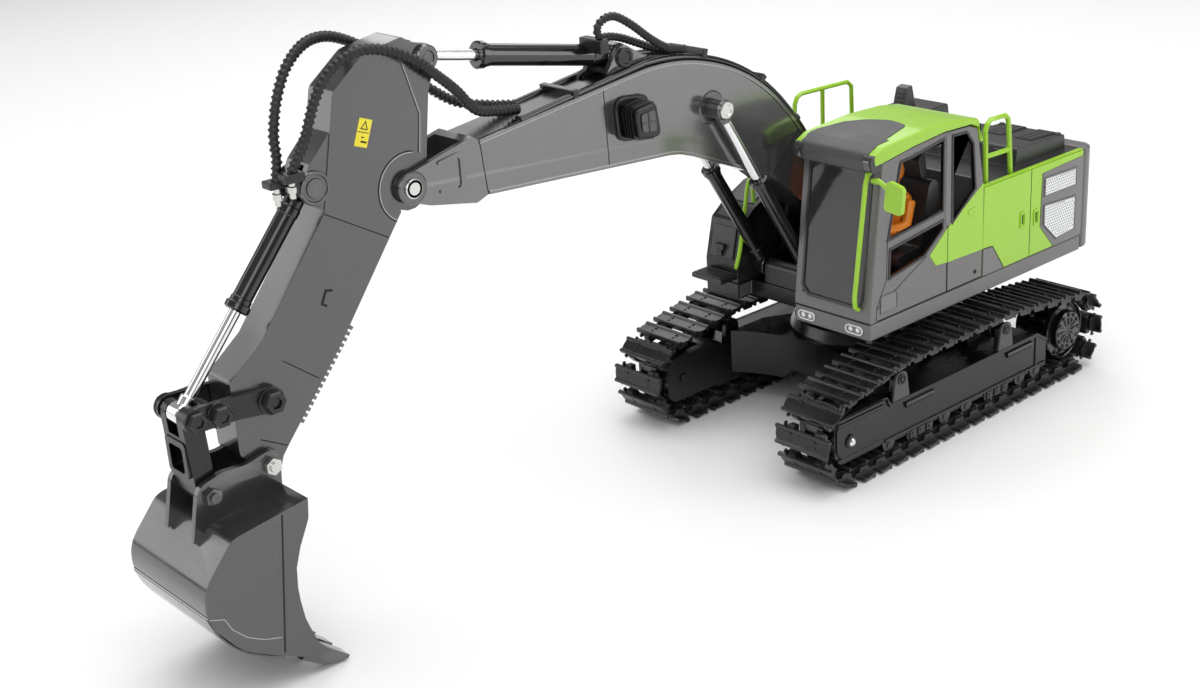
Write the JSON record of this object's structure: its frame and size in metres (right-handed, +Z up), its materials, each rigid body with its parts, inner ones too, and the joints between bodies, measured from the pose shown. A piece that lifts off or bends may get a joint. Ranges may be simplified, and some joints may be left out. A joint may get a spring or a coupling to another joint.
{
  "type": "toy crawler excavator",
  "caption": "Toy crawler excavator: two tracks, a slewing cab and engine house, and a jointed boom, arm and toothed bucket with piston cylinders.",
  "frame": {"origin": "on the ground, below the middle of the whole toy's bounding box", "axes": "+X forward towards the bucket, +Y to the machine's left, +Z up"},
  "size_m": [0.6242, 0.1822, 0.2929],
  "materials": {
    "lime_plastic": "smooth gloss moulded plastic",
    "grey_plastic": "satin moulded plastic",
    "dark_plastic": "satin moulded plastic",
    "gunmetal_plastic": "metallic-look painted plastic",
    "black_plastic": "satin moulded plastic",
    "track_plastic": "satin moulded plastic shoes",
    "black_gloss": "gloss tube",
    "chrome_rod": "polished metal rod",
    "hose_rubber": "ribbed soft rubber",
    "orange_plastic": "smooth moulded plastic",
    "tinted_glass": "dark tinted clear plastic",
    "circuit_green": "circuit board",
    "motor_steel": "motor can"
  },
  "bodies": {
    "undercarriage": {"chassis_frame": "black_plastic", "turntable_ring": "black_plastic", "track_frame_left": "black_plastic", "track_frame_right": "black_plastic", "track_belt_left": "track_plastic", "track_belt_right": "track_plastic", "drive_motor_left": "black_plastic", "drive_motor_right": "black_plastic"},
    "sprocket_left": {"sprocket_left": "black_plastic"},
    "idler_left": {"idler_left": "black_plastic"},
    "bottom_roller_left_front": {"bottom_roller_left_front": "black_plastic"},
    "carrier_roller_left_front": {"carrier_roller_left_front": "black_plastic"},
    "bottom_roller_left_rear": {"bottom_roller_left_rear": "black_plastic"},
    "carrier_roller_left_rear": {"carrier_roller_left_rear": "black_plastic"},
    "sprocket_right": {"sprocket_right": "black_plastic"},
    "idler_right": {"idler_right": "black_plastic"},
    "bottom_roller_right_front": {"bottom_roller_right_front": "black_plastic"},
    "carrier_roller_right_front": {"carrier_roller_right_front": "black_plastic"},
    "bottom_roller_right_rear": {"bottom_roller_right_rear": "black_plastic"},
    "carrier_roller_right_rear": {"carrier_roller_right_rear": "black_plastic"},
    "house": {"house_deck": "grey_plastic", "boom_bracket": "black_plastic", "cab_shell": "grey_plastic", "cab_roof": "lime_plastic", "windshield": "tinted_glass", "seat": "dark_plastic", "driver": "orange_plastic", "left_side_panel": "lime_plastic", "right_side_panel": "lime_plastic", "engine_hood": "dark_plastic", "air_cleaner_box": "dark_plastic", "exhaust_stack": "dark_plastic", "counterweight": "grey_plastic", "toolbox": "grey_plastic", "cab_handrail": "lime_plastic", "ladder_rail": "lime_plastic", "right_handrail": "lime_plastic", "mirror": "lime_plastic", "battery_pack": "dark_plastic", "circuit_board": "circuit_green", "slew_motor": "motor_steel"},
    "boom": {"boom": "gunmetal_plastic", "work_light": "dark_plastic", "boom_cylinder_pin": "chrome_rod", "arm_pivot_pin": "chrome_rod", "near_hose": "hose_rubber", "far_hose": "hose_rubber"},
    "boom_rod_left": {"boom_rod_left": "chrome_rod"},
    "boom_cylinder_left": {"boom_cylinder_left": "black_gloss"},
    "boom_rod_right": {"boom_rod_right": "chrome_rod"},
    "boom_cylinder_right": {"boom_cylinder_right": "black_gloss"},
    "arm": {"arm": "gunmetal_plastic"},
    "arm_rod": {"arm_rod": "chrome_rod"},
    "arm_cylinder": {"arm_cylinder": "black_gloss"},
    "rocker": {"rocker_link": "black_plastic"},
    "push_link": {"push_link": "black_plastic"},
    "bucket_rod": {"bucket_rod": "chrome_rod"},
    "bucket_cylinder": {"bucket_cylinder": "black_gloss"},
    "bucket": {"bucket": "gunmetal_plastic", "bucket_pin": "chrome_rod"}
  },
  "joints": [
    {"name": "slew", "type": "hinge", "parent": "undercarriage", "child": "house", "pos_m": [-0.16914, -0.00363, 0.07], "axis": [0, 0, 1], "continuous": true},
    {"name": "drive_left", "type": "hinge", "parent": "undercarriage", "child": "sprocket_left", "pos_m": [-0.27564, 0.06387, 0.0278], "axis": [0, 1, 0], "continuous": true},
    {"name": "idler_left_spin", "type": "hinge", "parent": "undercarriage", "child": "idler_left", "pos_m": [-0.06264, 0.06387, 0.0278], "axis": [0, 1, 0], "continuous": true},
    {"name": "bottom_roller_left_front_spin", "type": "hinge", "parent": "undercarriage", "child": "bottom_roller_left_front", "pos_m": [-0.12114, 0.06387, 0.0153], "axis": [0, 1, 0], "continuous": true},
    {"name": "bottom_roller_left_rear_spin", "type": "hinge", "parent": "undercarriage", "child": "bottom_roller_left_rear", "pos_m": [-0.20514, 0.06387, 0.0153], "axis": [0, 1, 0], "continuous": true},
    {"name": "carrier_roller_left_front_spin", "type": "hinge", "parent": "undercarriage", "child": "carrier_roller_left_front", "pos_m": [-0.10714, 0.06387, 0.0496], "axis": [0, 1, 0], "continuous": true},
    {"name": "carrier_roller_left_rear_spin", "type": "hinge", "parent": "undercarriage", "child": "carrier_roller_left_rear", "pos_m": [-0.20714, 0.06387, 0.0496], "axis": [0, 1, 0], "continuous": true},
    {"name": "drive_right", "type": "hinge", "parent": "undercarriage", "child": "sprocket_right", "pos_m": [-0.27564, -0.07113, 0.0278], "axis": [0, 1, 0], "continuous": true},
    {"name": "idler_right_spin", "type": "hinge", "parent": "undercarriage", "child": "idler_right", "pos_m": [-0.06264, -0.07113, 0.0278], "axis": [0, 1, 0], "continuous": true},
    {"name": "bottom_roller_right_front_spin", "type": "hinge", "parent": "undercarriage", "child": "bottom_roller_right_front", "pos_m": [-0.12114, -0.07113, 0.0153], "axis": [0, 1, 0], "continuous": true},
    {"name": "bottom_roller_right_rear_spin", "type": "hinge", "parent": "undercarriage", "child": "bottom_roller_right_rear", "pos_m": [-0.20514, -0.07113, 0.0153], "axis": [0, 1, 0], "continuous": true},
    {"name": "carrier_roller_right_front_spin", "type": "hinge", "parent": "undercarriage", "child": "carrier_roller_right_front", "pos_m": [-0.10714, -0.07113, 0.0496], "axis": [0, 1, 0], "continuous": true},
    {"name": "carrier_roller_right_rear_spin", "type": "hinge", "parent": "undercarriage", "child": "carrier_roller_right_rear", "pos_m": [-0.20714, -0.07113, 0.0496], "axis": [0, 1, 0], "continuous": true},
    {"name": "boom_lift", "type": "hinge", "parent": "house", "child": "boom", "pos_m": [-0.14214, -0.01463, 0.131], "axis": [0, -1, 0], "range_deg": [-24, 15]},
    {"name": "boom_rod_left_pivot", "type": "hinge", "parent": "boom", "child": "boom_rod_left", "pos_m": [-0.03914, 0.00437, 0.212], "axis": [0, -1, 0], "range_deg": [-2.08, 2.98]},
    {"name": "boom_cylinder_left_slide", "type": "slide", "parent": "boom_rod_left", "child": "boom_cylinder_left", "axis": [-0.5297, 0, -0.8482], "range_m": [-0.01919, 0.01214]},
    {"name": "boom_rod_right_pivot", "type": "hinge", "parent": "boom", "child": "boom_rod_right", "pos_m": [-0.03914, -0.03363, 0.212], "axis": [0, -1, 0], "range_deg": [-2.08, 2.98]},
    {"name": "boom_cylinder_right_slide", "type": "slide", "parent": "boom_rod_right", "child": "boom_cylinder_right", "axis": [-0.5297, 0, -0.8482], "range_m": [-0.01919, 0.01214]},
    {"name": "arm_swing", "type": "hinge", "parent": "boom", "child": "arm", "pos_m": [0.16236, -0.01463, 0.215], "axis": [0, -1, 0], "range_deg": [-20, 12], "deforming": ["near_hose", "far_hose"]},
    {"name": "arm_rod_pivot", "type": "hinge", "parent": "arm", "child": "arm_rod", "pos_m": [0.14586, -0.01463, 0.2745], "axis": [0, -1, 0], "range_deg": [-12.67, 20.71]},
    {"name": "arm_cylinder_slide", "type": "slide", "parent": "arm_rod", "child": "arm_cylinder", "axis": [-0.9823, 0, -0.1871], "range_m": [-0.01319, 0.02172]},
    {"name": "bucket_curl", "type": "hinge", "parent": "arm", "child": "bucket", "pos_m": [0.25786, -0.01463, 0.104], "axis": [0, -1, 0], "range_deg": [-21, 22]},
    {"name": "rocker_swing", "type": "hinge", "parent": "arm", "child": "rocker", "pos_m": [0.25286, -0.01463, 0.135], "axis": [0, -1, 0], "range_deg": [-17.3, 18.1]},
    {"name": "push_link_swing", "type": "hinge", "parent": "rocker", "child": "push_link", "pos_m": [0.29186, -0.01463, 0.138], "axis": [0, -1, 0], "range_deg": [-14.17, 13.55]},
    {"name": "bucket_rod_pivot", "type": "hinge", "parent": "rocker", "child": "bucket_rod", "pos_m": [0.29186, -0.01463, 0.138], "axis": [0, -1, 0], "range_deg": [-14.4, 13.77]},
    {"name": "bucket_cylinder_slide", "type": "slide", "parent": "bucket_rod", "child": "bucket_cylinder", "axis": [-0.6591, 0, 0.7521], "range_m": [-0.00931, 0.0089]}
  ],
  "couplings": [
    {"joint": "idler_left_spin", "follows": "drive_left", "ratio": 1},
    {"joint": "bottom_roller_left_front_spin", "follows": "drive_left", "ratio": 2.7703},
    {"joint": "bottom_roller_left_rear_spin", "follows": "drive_left", "ratio": 2.7703},
    {"joint": "carrier_roller_left_front_spin", "follows": "drive_left", "ratio": 2.9286},
    {"joint": "carrier_roller_left_rear_spin", "follows": "drive_left", "ratio": 2.9286},
    {"joint": "idler_right_spin", "follows": "drive_right", "ratio": 1},
    {"joint": "bottom_roller_right_front_spin", "follows": "drive_right", "ratio": 2.7703},
    {"joint": "bottom_roller_right_rear_spin", "follows": "drive_right", "ratio": 2.7703},
    {"joint": "carrier_roller_right_front_spin", "follows": "drive_right", "ratio": 2.9286},
    {"joint": "carrier_roller_right_rear_spin", "follows": "drive_right", "ratio": 2.9286},
    {"joint": "boom_rod_left_pivot", "follows": "boom_lift", "ratio": -0.099},
    {"joint": "boom_cylinder_left_slide", "follows": "boom_lift", "m_per_rad": 0.04485},
    {"joint": "boom_rod_right_pivot", "follows": "boom_lift", "ratio": -0.099},
    {"joint": "boom_cylinder_right_slide", "follows": "boom_lift", "m_per_rad": 0.04485},
    {"joint": "arm_rod_pivot", "follows": "arm_swing", "ratio": -1.0056},
    {"joint": "arm_cylinder_slide", "follows": "arm_swing", "m_per_rad": -0.06108},
    {"joint": "rocker_swing", "follows": "bucket_curl", "ratio": 0.7954},
    {"joint": "push_link_swing", "follows": "bucket_curl", "ratio": -0.6167},
    {"joint": "bucket_rod_pivot", "follows": "bucket_curl", "ratio": -0.6272},
    {"joint": "bucket_cylinder_slide", "follows": "bucket_curl", "m_per_rad": -0.0232}
  ]
}
